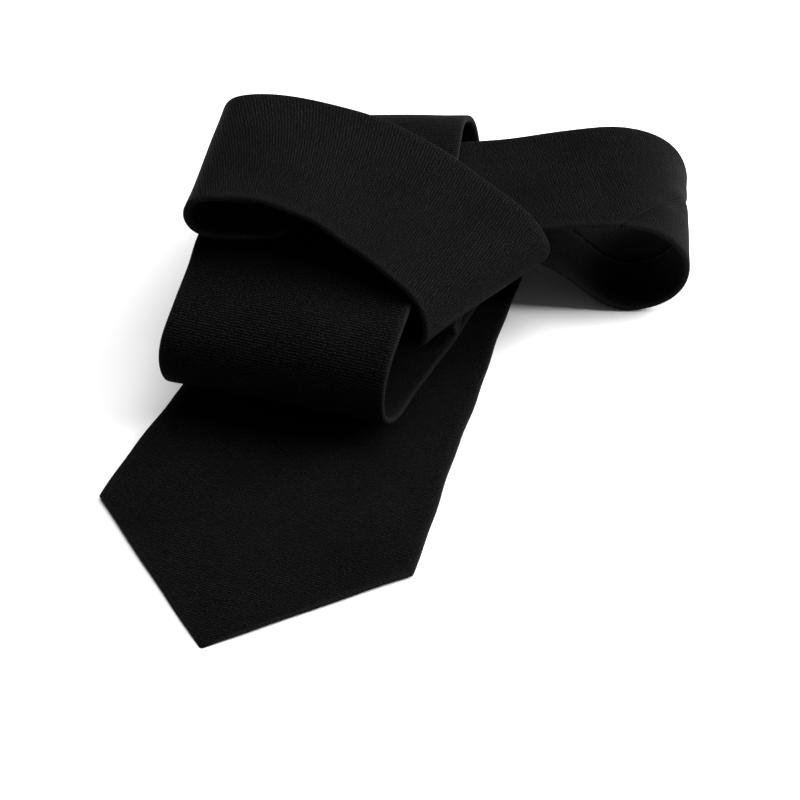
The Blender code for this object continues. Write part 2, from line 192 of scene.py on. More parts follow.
ROUTE = [
    # blade, flat on the table, face up
    station(-54.2, -95.6, 2.0, 108.9, 0),
    station(-48.8, -76.1, 2.0, 108.9, 0),
    station(-43.5, -56.6, 2.0, 108.9, 0),
    station(-26.3, -7.0, 2.0, 109, 0),
    station(-9.0, 42.6, 2.0, 110, 0),
    station(4.7, 82.2, 2.0, 113, 0),
    # folded back over itself
    *bend(9.7, 94.0, 4.0, 114.5, 1.9, 24.5, +1, 0.0),
    station(4.4, 81.4, 5.9, 114, 0),
    station(-11.0, 46.6, 5.9, 111.5, 0),
    station(-26.5, 13.0, 6.1, 107, -1),
    # front roll, up and back
    station(-34.0, -3.7, 6.9, 104.5, -2.5),
    station(-38.2, -13.4, 10.5, 104, -2.5),
    station(-39.9, -17.3, 18.1, 104, -2),
    station(-39.3, -16.0, 27.9, 104, -1),
    station(-35.9, -8.9, 34.6, 104, 0),
    station(-32.4, 3.7, 37.4, 103.5, 0),
    # over the top to the back roll, and down behind
    station(-25.5, 37.3, 38.9, 100, 0),
    station(-19.8, 62.5, 39.7, 95, 0),
    *bend(-14.3, 82.5, 25.2, 91, 14.9, 4, -1, 9.5),
    # inner turns, folded to and fro inside the roll
    *run((-10.9, 71.5, 10.2), (-16.8, 30.0, 9.9), 97, 101, 5),
    *bend(-17.6, 24.5, 11.5, 101, 1.6, 191, +1, 0.0),
    *run((-16.2, 30.0, 13.1), (-7.3, 65.6, 13.1), 101, 104, 4),
    *bend(-6.0, 71.1, 14.7, 104, 1.6, 14, +1, 0.0),
    *run((-7.3, 65.6, 16.3), (-18.5, 21.0, 16.3), 104, 104, 5),
    *bend(-19.8, 15.8, 17.9, 104, 1.6, 194, +1, 0.0),
    # slanting fold that turns the tie to the right
    *run((-18.8, 19.8, 19.5), (-9.8, 55.9, 19.5), 104, 55, 7),
    *bend(-8.7, 60.4, 21.3, 55, 1.8, -35, +1, 0.0),
    # side loop: out along the table, round, and back above
    *run((-3.5, 60.4, 23.1), (35.0, 60.0, 22.6), 55, 5, 7),
    station(42.0, 59.8, 20.0, 5, 0),
    station(50.8, 59.8, 12.6, 5, 0),
    station(57.8, 59.8, 4.7, 5, 0),
    station(66.2, 59.8, 1.1, 5, 0),
    station(76.0, 59.8, 3.6, 5, 0),
    station(82.3, 59.8, 10.5, 5, 1),
    station(83.6, 59.8, 19.1, 5, 3),
    station(80.0, 59.8, 27.5, 5, 5),
    station(71.8, 59.8, 34.2, 5, 6),
    station(60.0, 59.8, 36.2, 5, 6),
    station(41.1, 59.8, 34.0, 5, 4),
    station(21.2, 59.9, 31.8, 4, 0),
    station(-4.0, 59.4, 32.0, 3, 0),
    station(-22.9, 56.7, 32.6, 8, 0),
    station(-34.5, 54.1, 33.0, 15, 0),
    *bend(-41.8, 52.0, 30.3, 18.5, 2.5, 288.5, -1, 0.0),
    # out to the front right corner and up over the roll
    station(-33.4, 48.3, 27.7, 20, 0),
    station(-14.5, 38.9, 27.7, 32, 0),
    station(0.2, 30.5, 27.3, 38, 2),
    station(9.7, 22.4, 25.0, 44, 6),
    station(15.5, 16.2, 23.5, 47, 7),
    station(19.9, 12.0, 26.5, 47.5, 6),
    station(21.4, 10.8, 32.8, 47, 4),
    station(17.4, 13.6, 41.2, 46, -1),
    station(9.4, 18.9, 44.6, 44, 0),
    # top band, across to the left
    station(-2.4, 27.9, 49.0, 38, 0),
    station(-16.6, 37.8, 53.3, 30, 0),
    station(-33.4, 42.8, 56.5, 21, 0),
    station(-45.0, 44.6, 57.3, 14, 0),
    *bend(-53.4, 44.4, 50.6, 9, 6.9, 279, -1, 0.0),
    # tail, tucked back under the top band
    station(-45.0, 44.8, 43.7, 8, 0),
    station(-35.5, 46.0, 43.7, 4, 0),
    station(-23.9, 48.2, 43.7, -1, 0),
    station(-12.4, 50.6, 43.7, -4, 0),
]


class TiePath:
    """The smooth middle surface of the tie, addressed by distance from the blade's tip."""

    def __init__(self, route):
        keys = np.array(route, dtype=float)
        keys[:, 3] = np.degrees(np.unwrap(np.radians(keys[:, 3])))
        keys = np.vstack([2 * keys[0] - keys[1], keys, 2 * keys[-1] - keys[-2]])
        fine = [self.spline(keys[i - 1:i + 3], step / SAMPLES)
                for i in range(1, len(keys) - 2) for step in range(SAMPLES)]
        fine.append(keys[-2])
        fine = np.array(fine)
        self.points = fine[:, :3] + FRAME_SHIFT
        tangents = np.gradient(self.points, axis=0)
        self.tangents = tangents / np.linalg.norm(tangents, axis=1)[:, None]
        heading = np.radians(fine[:, 3])
        tilt = np.radians(fine[:, 4])
        self.across = np.stack([np.sin(heading) * np.cos(tilt),
                                np.cos(heading) * np.cos(tilt), np.sin(tilt)], axis=1)
        steps = np.linalg.norm(np.diff(self.points, axis=0), axis=1)
        self.distance = np.concatenate([[0.0], np.cumsum(steps)])
        self.length = float(self.distance[-1])
        along, widths = zip(*WIDTHS)
        self.width_at, self.width_is = np.array(along), np.array(widths)

    @staticmethod
    def spline(keys, t):
        weights = ((1 - t) ** 3, 3 * t ** 3 - 6 * t ** 2 + 4,
                   -3 * t ** 3 + 3 * t ** 2 + 3 * t + 1, t ** 3)
        return sum(w / 6 * key for w, key in zip(weights, keys))

    def sample(self, values, s):
        return np.stack([np.interp(s, self.distance, values[:, k]) for k in range(3)], -1)

    def frames(self, s):
        """Points, scaled across directions and face normals at an array of distances."""
        tangent = self.sample(self.tangents, s)
        tangent /= np.linalg.norm(tangent, axis=-1, keepdims=True)
        across = self.sample(self.across, s)
        across /= np.linalg.norm(across, axis=-1, keepdims=True)
        normal = np.cross(across, tangent)
        square = np.linalg.norm(normal, axis=-1, keepdims=True)
        return self.sample(self.points, s), across / square, normal / square

    def half_width(self, s):
        s = np.asarray(s, dtype=float)
        width = np.interp(s, self.width_at, self.width_is)
        blade = np.clip(s / BLADE_TIP_LENGTH, 0, 1)
        tail = np.clip((self.length - s) / TAIL_TIP_LENGTH, 0, 1)
        return (TIP_WIDTH + (width - TIP_WIDTH) * np.minimum(blade, tail)) / 2

    def rows(self, start, end):
        """Distances of the cross-sections from start to end, closer together in bends."""
        s = np.arange(start, end, ROW_SEARCH)
        tangent = self.sample(self.tangents, s)
        tangent /= np.linalg.norm(tangent, axis=1)[:, None]
        dots = np.clip((tangent[1:] * tangent[:-1]).sum(1), -1, 1)
        load = np.arccos(dots) / ROW_BEND + ROW_SEARCH / ROW_LENGTH
        total = np.concatenate([[0.0], np.cumsum(load)])
        count = max(2, int(math.ceil(total[-1])))
        rows = np.interp(np.linspace(0, total[-1], count + 1), total, s)
        rows[-1] = end
        corners = [c for c in (BLADE_TIP_LENGTH, FLAPS_MEET, self.length - FLAPS_MEET,
                               self.length - TAIL_TIP_LENGTH) if start < c < end]
        for corner in corners:
            rows[1:-1][np.argmin(abs(rows[1:-1] - corner))] = corner
        return rows


PATH = TiePath(ROUTE)


def flap_gap(s):
    """Half of the opening between the two back flaps: the hem at the pointed ends."""
    s = np.asarray(s, dtype=float)
    from_tip = np.minimum(s, PATH.length - s)
    closed = SEAM_SLIT / 2
    hemmed = np.maximum(closed, PATH.half_width(s) - HEM)
    corner = np.where(s < PATH.length / 2, BLADE_TIP_LENGTH, TAIL_TIP_LENGTH)
    part = np.clip((from_tip - corner) / (FLAPS_MEET - corner), 0, 1)
    return closed + (hemmed - closed) * (1 - part)


def smooth(x):
    x = np.clip(x, 0, 1)
    return x * x * (3 - 2 * x)


def unevenness(s, u):
    """How far the whole tie stands off its even surface, along the face normal."""
    soft = sum(height * np.sin(s / along + first) * np.sin(u / across + second)
               for height, along, first, across, second in WAVES)
    height, along, across = SLANT_WAVE
    soft = soft + height * np.sin(s / along + u / across)
    height, reach, across, phase = PUCKER
    off_seam = (s - NECK_TAIL_SEAM - SEAM_SLANT * u) / reach
    soft = soft + height * np.exp(-off_seam ** 2) * np.sin(u / across + phase)
    rests_at, reach, depth = LOOP_RESTS
    pressed = np.exp(-((s - rests_at) / reach) ** 2)
    soft = soft * (1 - pressed) - depth * pressed
    starts, stops = FLAT_FADES
    loose = smooth((s - LIES_FLAT) / starts)
    height, along, phase, across = LYING_WAVE
    lying = height * (1 + np.sin(s / along + phase) * np.sin(u / across))
    return soft * loose + lying * (1 - loose) * smooth((LIES_FLAT - s) / stops + FLAT_REST)


def press(s):
    """Share of the full thickness that is left at distance s."""
    from_tip = np.clip(np.minimum(s, PATH.length - s), 0, None)
    left = np.ones_like(from_tip)
    for share, reach in (TIP_THINS, TIP_PINCH):
        left *= 1 - share * smooth(1 - from_tip / reach)
    return left


def place(s, u, v):
    """World points of the cloth, in metres; s, u and v are arrays in millimetres."""
    v = BACK + (v - BACK) * press(s)
    half = PATH.half_width(s)
    wander = sum(height * np.sin(s / length + phase)
                 for height, length, phase in EDGE_WANDERS)
    u_wide = u * (1 + wander * smooth(half / WANDER_FULL) / np.maximum(half, 1.0))
    point, across, normal = PATH.frames(s)
    off = v + unevenness(s, u)
    return (point + across * u_wide[..., None] + normal * off[..., None]) * MM


def slanted(s, u, seams):
    """Distances along the tie when the cross-sections near a seam turn to the bias."""
    slant = np.zeros_like(s)
    for seam in seams:
        slant += SEAM_SLANT * np.clip(1 - np.abs(s - seam) / SLANT_REACH, 0, 1)
    return s + slant * u


# ------------------------------------------------------------ making objects
def make_object(name, vertices, faces, material, cloth):
    """A mesh object; cloth holds each vertex's place on the cloth, across and along, in
    mm, and its edge wear with a painted edge highlight, for the materials."""
    mesh = bpy.data.meshes.new(name)
    mesh.from_pydata(np.asarray(vertices).reshape(-1, 3).tolist(), [], faces)
    weave = mesh.attributes.new("cloth", "FLOAT_VECTOR", "POINT")
    weave.data.foreach_set("vector", np.asarray(cloth, dtype=np.float32).ravel())
    mesh.materials.append(material)
    mesh.shade_smooth()
    mesh.update()
    obj = bpy.data.objects.new(name, mesh)
    bpy.context.scene.collection.objects.link(obj)
    return obj


def swept(name, s, u, v, material, cloth_u=None, edge=None):
    """Closed solid from arrays of shape (rows, ring): rings joined, both ends capped."""
    rows, ring = s.shape
    vertices = place(s, u, v)
    faces = []
    for i in range(rows - 1):
        for k in range(ring):
            n = (k + 1) % ring
            faces.append((i * ring + k, (i + 1) * ring + k,
                          (i + 1) * ring + n, i * ring + n))
    half = ring // 2
    for i, turn in ((0, 1), (rows - 1, -1)):
        for k in range(half - 1):
            quad = (k, k + 1, ring - 2 - k, ring - 1 - k)
            faces.append(tuple(i * ring + q for q in quad[::turn]))
    across = u if cloth_u is None else cloth_u
    # edge wear and a painted highlight along the folded edges, for the materials
    worn_and_lit = np.zeros_like(s) if edge is None else edge
    return make_object(name, vertices, faces, material, np.stack([across, s, worn_and_lit], -1))


def declare(piece, node):
    """Attach a piece to its body, and hide the CAD node that it stands in for."""
    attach(piece, BODY)
    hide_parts(node)
    return piece


# ------------------------------------------------------------ shell cloth
def wall(s):
    """Middle line of the folded shell cloth at each row: u, v, normals, cloth distance
    from the middle of the face, and edge wear with a painted edge highlight, all of shape
    (rows, columns)."""
    half = PATH.half_width(s)[:, None]
    level = (TIE_THICKNESS - CLOTH) / 2
    gap = np.minimum(flap_gap(s)[:, None], half * NARROW_GAP)
    radius = np.minimum(level, half * NARROW_ROUND)
    flat = half - radius
    columns = max(SHELL_COLUMNS, int(round(float(half.max()) / COLUMN)))
    flap = gap + (flat - gap) * np.linspace(0, 1, columns)[None, :]
    face = flat * np.linspace(1, -1, 2 * columns + 1)[None, :]
    turn = np.linspace(-np.pi / 2, np.pi / 2, ARC_STEPS + 2)[None, 1:-1]
    swell = EDGE_LOFT * smooth(half / LOFT_FULL)
    loft = swell * np.exp(-((flat - np.abs(face)) / LOFT_REACH) ** 2)
    arc_u = flat + radius * np.cos(turn)
    arc_v = swell / 2 + (level + swell / 2) * np.sin(turn)
    one = np.ones_like(flat)
    ones = np.ones_like(flap)
    u = np.hstack([flap, arc_u, face, -arc_u[:, ::-1], -flap[:, ::-1]])
    v = np.hstack([-level * ones, arc_v, level + loft, arc_v[:, ::-1], -level * ones])
    nu = np.hstack([0 * flap, np.cos(turn) * one, 0 * face,
                    -np.cos(turn[:, ::-1]) * one, 0 * flap])
    nv = np.hstack([-ones, np.sin(turn) * one, np.ones_like(face),
                    np.sin(turn[:, ::-1]) * one, -ones])
    # cloth distance: on from the face round the edge, and back along the flap
    arc_p = half + radius * (0.5 - turn)
    flap_p = flat + radius * np.pi + (flat - flap)
    p = np.hstack([flap_p, arc_p, face, -arc_p[:, ::-1], -flap_p[:, ::-1]])
    # wear of the folded edges, which also carries a painted highlight along them
    edge = np.exp(-((half - np.abs(u)) / EDGE_WEAR_AND_HIGHLIGHT) ** 2)
    return u, v, nu, nv, p, edge


def shell(name, node, start, end, material, seams):
    """One panel of shell cloth from start to end; gives its flat size and area too."""
    s = PATH.rows(start, end)
    u, v, nu, nv, p, edge = wall(s)
    rows = np.repeat(s[:, None], u.shape[1], axis=1)
    dip = np.zeros_like(rows)
    for seam in seams:
        dip += SEAM_DIP * np.exp(-((rows - seam) / SEAM_DIP_REACH) ** 2)
    outer_u = u + nu * CLOTH / 2
    outer_v = v + nv * (CLOTH / 2 - dip)
    inner_u = u - nu * CLOTH / 2
    inner_v = v - nv * (CLOTH / 2 + dip * SEAM_DIP_INSIDE)
    ring_u = np.hstack([outer_u, inner_u[:, ::-1]])
    ring_v = np.hstack([outer_v, inner_v[:, ::-1]])
    ring_p = np.hstack([p, p[:, ::-1]])
    ring_e = np.hstack([edge, edge[:, ::-1]])
    ring_s = np.repeat(s[:, None], ring_u.shape[1], axis=1)
    ring_s = slanted(ring_s, ring_u, seams)
    piece = swept(name, ring_s, ring_u, ring_v, material, ring_p, ring_e)
    declare(piece, node)
    length = float(end - start)
    breadth = 2 * np.abs(p[:, 0])
    area = float(np.sum((breadth[1:] + breadth[:-1]) / 2 * np.diff(s)))
    return piece, (float(breadth.max()) * MM, length * MM), area * MM * MM


# ------------------------------------------------------------ flat strips
def strip(name, node, start, end, half_of, low, high, material, rows=None):
    """Flat piece from low to high off the middle surface, half_of(s) to either side."""
    s = PATH.rows(start, end) if rows is None else rows
    half = half_of(s)[:, None] * np.ones((len(s), 1))
    columns = max(STRIP_COLUMNS, int(round(float(half.max()) * 2 / STRIP_COLUMN)))
    line = np.linspace(-1, 1, columns + 1)[None, :]
    u = np.hstack([half * line, half * line[:, ::-1]])
    v = np.hstack([low + 0 * half * line, high + 0 * half * line])
    ring_s = np.repeat(s[:, None], u.shape[1], axis=1)
    piece = swept(name, ring_s, u, v, material)
    declare(piece, node)
    width = 2 * half[:, 0]
    area = float(np.sum((width[1:] + width[:-1]) / 2 * np.diff(s)))
    return piece, (float(width.max()) * MM, float(end - start) * MM), area * MM * MM


# ------------------------------------------------------------ threads
def tube_data(points, radius):
    """Vertices and faces of a round thread through world points, thinner at its ends."""
    points = [Vector(p) for p in points]
    sides = THREAD_SIDES
    vertices, faces = [], []
    side = None
    for i, point in enumerate(points):
        ahead = points[min(i + 1, len(points) - 1)] - points[max(i - 1, 0)]
        ahead.normalize()
        if side is None:
            side = ahead.orthogonal().normalized()
        side = (side - ahead * side.dot(ahead)).normalized()
        up = ahead.cross(side)
        thick = radius * (THREAD_END if i in (0, len(points) - 1) else 1.0)
        for k in range(sides):
            a = 2 * math.pi * k / sides
            vertices.append(point + (side * math.cos(a) + up * math.sin(a)) * thick)
    for i in range(len(points) - 1):
        for k in range(sides):
            n = (k + 1) % sides
            faces.append((i * sides + k, i * sides + n,
                          (i + 1) * sides + n, (i + 1) * sides + k))
    faces.append(tuple(range(sides))[::-1])
    last = (len(points) - 1) * sides
    faces.append(tuple(range(last, last + sides)))
    return vertices, faces


def threads(name, node, lines, radius, material):
    """One object of many short threads; each line is an array of (s, u, v) in mm."""
    vertices, faces, cloth = [], [], []
    for line in lines:
        line = np.asarray(line, dtype=float)
        world = place(line[:, 0], line[:, 1], line[:, 2])
        some, more = tube_data(world.tolist(), radius * MM)
        faces += [tuple(k + len(vertices) for k in face) for face in more]
        vertices += [tuple(p) for p in some]
        for along, across, _ in line:
            cloth += [(across + k * PLY_STEP, along, 0.0) for k in range(THREAD_SIDES)]
    piece = make_object(name, vertices, faces, material, cloth)
    return declare(piece, node)


def stitch(a, b, sinks, points):
    """A stitch from a to b, both (s, u, v), that sinks into the cloth in its middle."""
    a, b = np.asarray(a, dtype=float), np.asarray(b, dtype=float)
    t = np.linspace(0, 1, points)[:, None]
    line = a + (b - a) * t
    line[:, 2] -= sinks * np.sin(np.pi * t[:, 0])
    return line


def hem_stitches(name, node, at_tip, material):
    """Slip stitches that catch the lining to the hem, both sides of a pointed end."""
    lines = []
    pitch, level, sinks = HEM_STITCH
    near = HEM + HEM_STITCH_SETBACK[0]
    far = FLAPS_MEET - TIPPING_STOPS - HEM_STITCH_SETBACK[1]
    for side in (-1, 1):
        for d in np.arange(near, far, pitch):
            ends = []
            for reach, inward in HEM_STITCH_ENDS:
                s = abs(at_tip - d - reach)
                ends.append((s, side * (float(flap_gap(s)) - inward), BACK + level))
            lines.append(stitch(*ends, sinks, 5))
    return threads(name, node, lines, FINE_THREAD, material)


def slip_stitches(name, node, material):
    """The long hand stitch that closes the back, from side to side of the slit."""
    lines = []
    pitch, level, sinks = SLIP_STITCH
    along, aside = SLIP_STITCH_SIZE
    start = FLAPS_MEET + SLIP_STITCH_SETBACK[0]
    end = PATH.length - FLAPS_MEET - SLIP_STITCH_SETBACK[1]
    for s in np.arange(start, end, pitch):
        lines.append(stitch((s, -aside, BACK + level), (s + along, aside, BACK + level),
                            sinks, 4))
        aside = -aside
    return threads(name, node, lines, SLIP_THREAD, material)


def bar_tack(name, node, at, material):
    """Satin stitches packed side by side across the join of the flaps."""
    lines = []
    pitch, level, sinks = TACK
    half = float(flap_gap(at)) + TACK_OVERLAP
    for k in range(TACK_STITCHES):
        s = at + pitch * (k - (TACK_STITCHES - 1) / 2)
        lines.append(stitch((s, -half, BACK + level), (s + TACK_SLANT, half, BACK + level),
                            sinks, 7))
    return threads(name, node, lines, HEAVY_THREAD, material)


def seam_thread(name, node, at, material):
    """The row of stitches down in a piecing seam, round the whole tie."""
    u, v, nu, nv, _, _ = wall(np.array([at, at]))
    s = slanted(np.full(u.shape[1], at), u[0], [at])
    line = np.stack([s, u[0] - nu[0] * SEAM_DEPTH, v[0] - nv[0] * SEAM_DEPTH], -1)
    return threads(name, node, [line], SLIP_THREAD, material)


# ------------------------------------------------------------ materials
# Distances in materials are cloth millimetres, from the "cloth" attribute of each piece.
# Bumps are (height in metres, strength).
SHEEN_ROUGHNESS = 0.45
SHEEN_TINT = (0.93, 0.99, 0.985, 1.0)
GREY_BLUE = 1.04             # greys lean this much towards blue
SILK_CAST = 1.04             # and the silk towards green and blue, as in the photo

RIB_PERIOD = 0.78            # from one raised rib of the twill to the next
CROSS_TURN = 62.0            # the finer threads across the ribs, turned by this angle
CROSS_PERIOD = RIB_PERIOD * 0.52
WANDER = (1.3, 4.0, 0.95)    # the threads wander: noise size and detail, distance
FLECKS = (0.40, 4.0)         # broken, speckled threads: noise size and detail
FLECK_GAIN = (3.4, -1.2)
FLECK_SHARE = (1.5, 0.15)
RIB_SHARE = 0.65             # of the ribs in the weave; the rest is the cross threads
GLINT_POWER = 2.6            # only the tops of the threads catch the light
PATCHES = (26.0, 3.0)        # darker and lighter patches: noise size and detail
PATCH_GAIN = (2.2, -0.10)
PATCH_HAZE = 0.30            # share of haze in the palest patch
WEAR_AND_HIGHLIGHT = (0.8, 2.0)            # wear and painted highlight of the folded edges: noise size and detail
WEAR_AND_HIGHLIGHT_GAIN = (1.5, 0.1)
# the last colour is that of edge wear and a painted edge highlight
SILK_DARK, SILK_GLINT, SILK_HAZE, SILK_WORN_AND_LIT = 0.0001, 0.0125, 0.0006, 0.0055
SILK_ROUGHNESS = 0.66
THREAD_SHINE = -0.16         # thread tops are smoother
PATCH_DULLS = 0.10
SLUBS = (7.0, 4.0)           # thick places in the yarn: noise size and detail
SLUB_BUMP = (0.0004, 0.35)
TWILL_BUMP = (0.00024, 0.9)
SILK_SHEEN = 0.0016
SILK_SPECULAR = 0.020
# angle of the ribs from straight across the tie, and tone, which sets the overall darkness;
# the blade's lower tone also adds painted shade to the front roll that it forms
BLADE_TWILL = (-3.0, 0.72)
TAIL_TWILL = (17.0, 0.82)
NECK_TWILL = (12.0, 0.78)

# plain weaves: tone, thread period, specular, roughness
LINING_CLOTH = (0.0055, 0.36, 0.30, 0.34)
LABEL_SATIN = (0.0080, 0.42, 0.25, 0.38)
PLAIN_FLECKS = (0.5, 3.0)    # noise size and detail
PLAIN_PATCHES = (14.0, 2.0)
PLAIN_PATCH_SHARE = 0.4
PLAIN_FLECK_DULLS = 0.15
PLAIN_BUMP = (0.00010, 0.6)
PLAIN_SHEEN = 0.02

SEWING_THREAD = 0.0075       # tone
PLY_TURN = 52.0              # the thread's plies slant by this angle
PLY_PERIOD = 0.34
PLY_SHINE = -0.1
THREAD_ROUGHNESS = 0.55
PLY_BUMP = (0.00008, 0.8)
THREAD_SHEEN = 0.03
THREAD_SPECULAR = 0.15

CORE_FELT = 0.030            # tone
FELT_PERIOD = 1.3            # of the loose weave, on the bias
NAP = (0.6, 5.0)             # noise size and detail
NAP_SHARE = 0.6              # of the nap in the felt's height; the rest is the weave
FELT_ROUGHNESS = 0.92
FELT_BUMP = (0.0003, 0.8)
FELT_SHEEN = 0.1
FELT_SPECULAR = 0.1


class Nodes:
    """Short hand for building a material's node tree."""

    def __init__(self, name):
        self.material = bpy.data.materials.new(name)
        self.material.use_nodes = True
        self.tree = self.material.node_tree
        self.shader = self.tree.nodes["Principled BSDF"]
        self.cloth = self.add("ShaderNodeAttribute", attribute_name="cloth")
        self.split = self.add("ShaderNodeSeparateXYZ")
        self.link(self.cloth.outputs["Vector"], self.split.inputs[0])

    def add(self, kind, **settings):
        node = self.tree.nodes.new(kind)
        for key, value in settings.items():
            setattr(node, key, value)
        return node

    def link(self, a, b):
        self.tree.links.new(a, b)

    def put(self, value, socket):
        if hasattr(value, "is_linked"):
            self.link(value, socket)
        else:
            socket.default_value = value

    def calc(self, operation, a, b=0.0, c=0.0):
        node = self.add("ShaderNodeMath", operation=operation)
        for value, socket in zip((a, b, c), node.inputs):
            self.put(value, socket)
        return node.outputs[0]

    def waves(self, angle, period, wobble=None):
        """Sine bands in cloth millimetres, 0 to 1; angle is that of a band, in degrees
        from straight across the tie."""
        a = math.radians(angle)
        across = self.calc("MULTIPLY", self.split.outputs[0], -math.sin(a))
        along = self.calc("MULTIPLY", self.split.outputs[1], math.cos(a))
        where = self.calc("ADD", across, along)
        if wobble is not None:
            where = self.calc("ADD", where, wobble)
        turn = self.calc("MULTIPLY", where, 2 * math.pi / period)
        return self.calc("MULTIPLY_ADD", self.calc("SINE", turn), 0.5, 0.5)

    def noise(self, size, detail):
        """Soft noise of about size millimetres, fixed to the cloth."""
        node = self.add("ShaderNodeTexNoise")
        self.link(self.cloth.outputs["Vector"], node.inputs["Vector"])
        node.inputs["Scale"].default_value = 1.0 / size
        node.inputs["Detail"].default_value = detail
        return node.outputs[0]

    def mix(self, factor, a, b):
        """Colour between a and b; a mix node's colour sockets are 6 and 7 in, 2 out."""
        node = self.add("ShaderNodeMix", data_type="RGBA")
        self.put(factor, node.inputs[0])
        self.put(a, node.inputs[6])
        self.put(b, node.inputs[7])
        return node.outputs[2]

    def bump(self, height, distance, strength, under=None):
        """Normals raised by height, on top of those of another bump."""
        node = self.add("ShaderNodeBump")
        node.inputs["Strength"].default_value = strength
        node.inputs["Distance"].default_value = distance
        self.put(height, node.inputs["Height"])
        if under is not None:
            self.link(under, node.inputs["Normal"])
        return node.outputs[0]

    def finish(self, colour, roughness, normal, sheen, specular):
        inputs = self.shader.inputs
        self.put(colour, inputs["Base Color"])
        self.put(roughness, inputs["Roughness"])
        self.link(normal, inputs["Normal"])
        inputs["Specular IOR Level"].default_value = specular
        inputs["Sheen Weight"].default_value = sheen
        inputs["Sheen Roughness"].default_value = SHEEN_ROUGHNESS
        inputs["Sheen Tint"].default_value = SHEEN_TINT
        return self.material


def grey(value, blue=GREY_BLUE):
    return (value, value, value * blue, 1.0)


def black_silk(value):
    return (value, value * SILK_CAST, value * SILK_CAST, 1.0)


def twill(name, angle, tone):
    """Fine black silk twill: raised ribs, threads across them, folded edges made lighter for
    wear and as a painted highlight.
    """
    n = Nodes(name)
    size, detail, distance = WANDER
    wobble = n.calc("MULTIPLY", n.noise(size, detail), distance)
    rib = n.waves(angle, RIB_PERIOD, wobble)
    cross = n.waves(angle + CROSS_TURN, CROSS_PERIOD, wobble)
    fleck = n.calc("MULTIPLY_ADD", n.noise(*FLECKS), *FLECK_GAIN)
    weave = n.calc("MULTIPLY_ADD", cross, 1 - RIB_SHARE,
                   n.calc("MULTIPLY", rib, RIB_SHARE))
    weave = n.calc("MULTIPLY", weave, n.calc("MULTIPLY_ADD", fleck, *FLECK_SHARE))
    glint = n.calc("POWER", n.calc("MAXIMUM", weave, 0.0), GLINT_POWER)
    patch = n.noise(*PATCHES)
    glint = n.calc("MULTIPLY", glint, n.calc("MULTIPLY_ADD", patch, *PATCH_GAIN))
    # patchy wear and painted highlight along the folded edges, mixed lighter into the colour
    # below
    rubbed_and_lit = n.calc("MULTIPLY_ADD", n.noise(*WEAR_AND_HIGHLIGHT), *WEAR_AND_HIGHLIGHT_GAIN)
    worn_and_lit = n.calc("MULTIPLY", n.split.outputs[2], rubbed_and_lit)
    dark = n.mix(glint, black_silk(SILK_DARK), black_silk(SILK_GLINT * tone))
    dark = n.mix(n.calc("MULTIPLY", patch, PATCH_HAZE), dark, black_silk(SILK_HAZE))
    colour = n.mix(worn_and_lit, dark, black_silk(SILK_WORN_AND_LIT))
    rough = n.calc("MULTIPLY_ADD", weave, THREAD_SHINE, SILK_ROUGHNESS)
    rough = n.calc("MULTIPLY_ADD", patch, PATCH_DULLS, rough)
    slubs = n.bump(n.noise(*SLUBS), *SLUB_BUMP)
    normal = n.bump(weave, *TWILL_BUMP, slubs)
    return n.finish(colour, rough, normal, SILK_SHEEN * tone, SILK_SPECULAR * tone)


def felt(name, value):
    """Brushed interlining: a loose plain weave under a nap."""
    n = Nodes(name)
    weave = n.calc("MULTIPLY", n.waves(45.0, FELT_PERIOD), n.waves(-45.0, FELT_PERIOD))
    nap = n.noise(*NAP)
    colour = n.mix(nap, grey(value * 0.7, 1.0), grey(value * 1.3, 1.0))
    height = n.calc("MULTIPLY_ADD", nap, NAP_SHARE,
                    n.calc("MULTIPLY", weave, 1 - NAP_SHARE))
    return n.finish(colour, FELT_ROUGHNESS, n.bump(height, *FELT_BUMP),
                    FELT_SHEEN, FELT_SPECULAR)


def plain_cloth(name, value, period, specular, roughness):
    """Close plain weave for lining and labels."""
    n = Nodes(name)
    weave = n.calc("MULTIPLY", n.waves(0.0, period), n.waves(90.0, period))
    fleck = n.noise(*PLAIN_FLECKS)
    height = n.calc("MULTIPLY", weave, n.calc("MULTIPLY_ADD", fleck, 0.6, 0.6))
    patch = n.calc("MULTIPLY", n.noise(*PLAIN_PATCHES), PLAIN_PATCH_SHARE)
    colour = n.mix(height, grey(value * 0.6), grey(value * 1.7))
    colour = n.mix(patch, colour, grey(value * 1.3))
    rough = n.calc("MULTIPLY_ADD", fleck, PLAIN_FLECK_DULLS, roughness)
    return n.finish(colour, rough, n.bump(height, *PLAIN_BUMP), PLAIN_SHEEN, specular)


def twisted_thread(name, value):
    """Sewing thread with fine slanting plies."""
    n = Nodes(name)
    ply = n.waves(PLY_TURN, PLY_PERIOD)
    colour = n.mix(ply, grey(value * 0.5), grey(value * 1.8))
    rough = n.calc("MULTIPLY_ADD", ply, PLY_SHINE, THREAD_ROUGHNESS)
    return n.finish(colour, rough, n.bump(ply, *PLY_BUMP), THREAD_SHEEN, THREAD_SPECULAR)


# ------------------------------------------------------------ the tie
def shells(blade, neck, tail):
    """The three panels of shell cloth, with their materials."""
    seams = [BLADE_NECK_SEAM, NECK_TAIL_SEAM]
    neck_from, neck_to = seams[0] + SEAM_OPENING, seams[1] - SEAM_OPENING
    for name, node, start, end, material, near, rests_on in (
            ("blade_cloth", "blade_shell", 0.0, seams[0] - SEAM_OPENING, blade,
             seams[:1], ["floor"]),
            ("neck_cloth", "neck_shell", neck_from, neck_to, neck,
             seams, ["blade_cloth"]),
            ("tail_cloth", "tail_shell", seams[1] + SEAM_OPENING, PATH.length, tail,
             seams[1:], ["blade_cloth", "neck_cloth"])):
        piece, flat, area = shell(name, node, start, end, material, near)


def core_half(s):
    return np.maximum(CORE_LEAST, PATH.half_width(s) - INTERLINING_INSET)


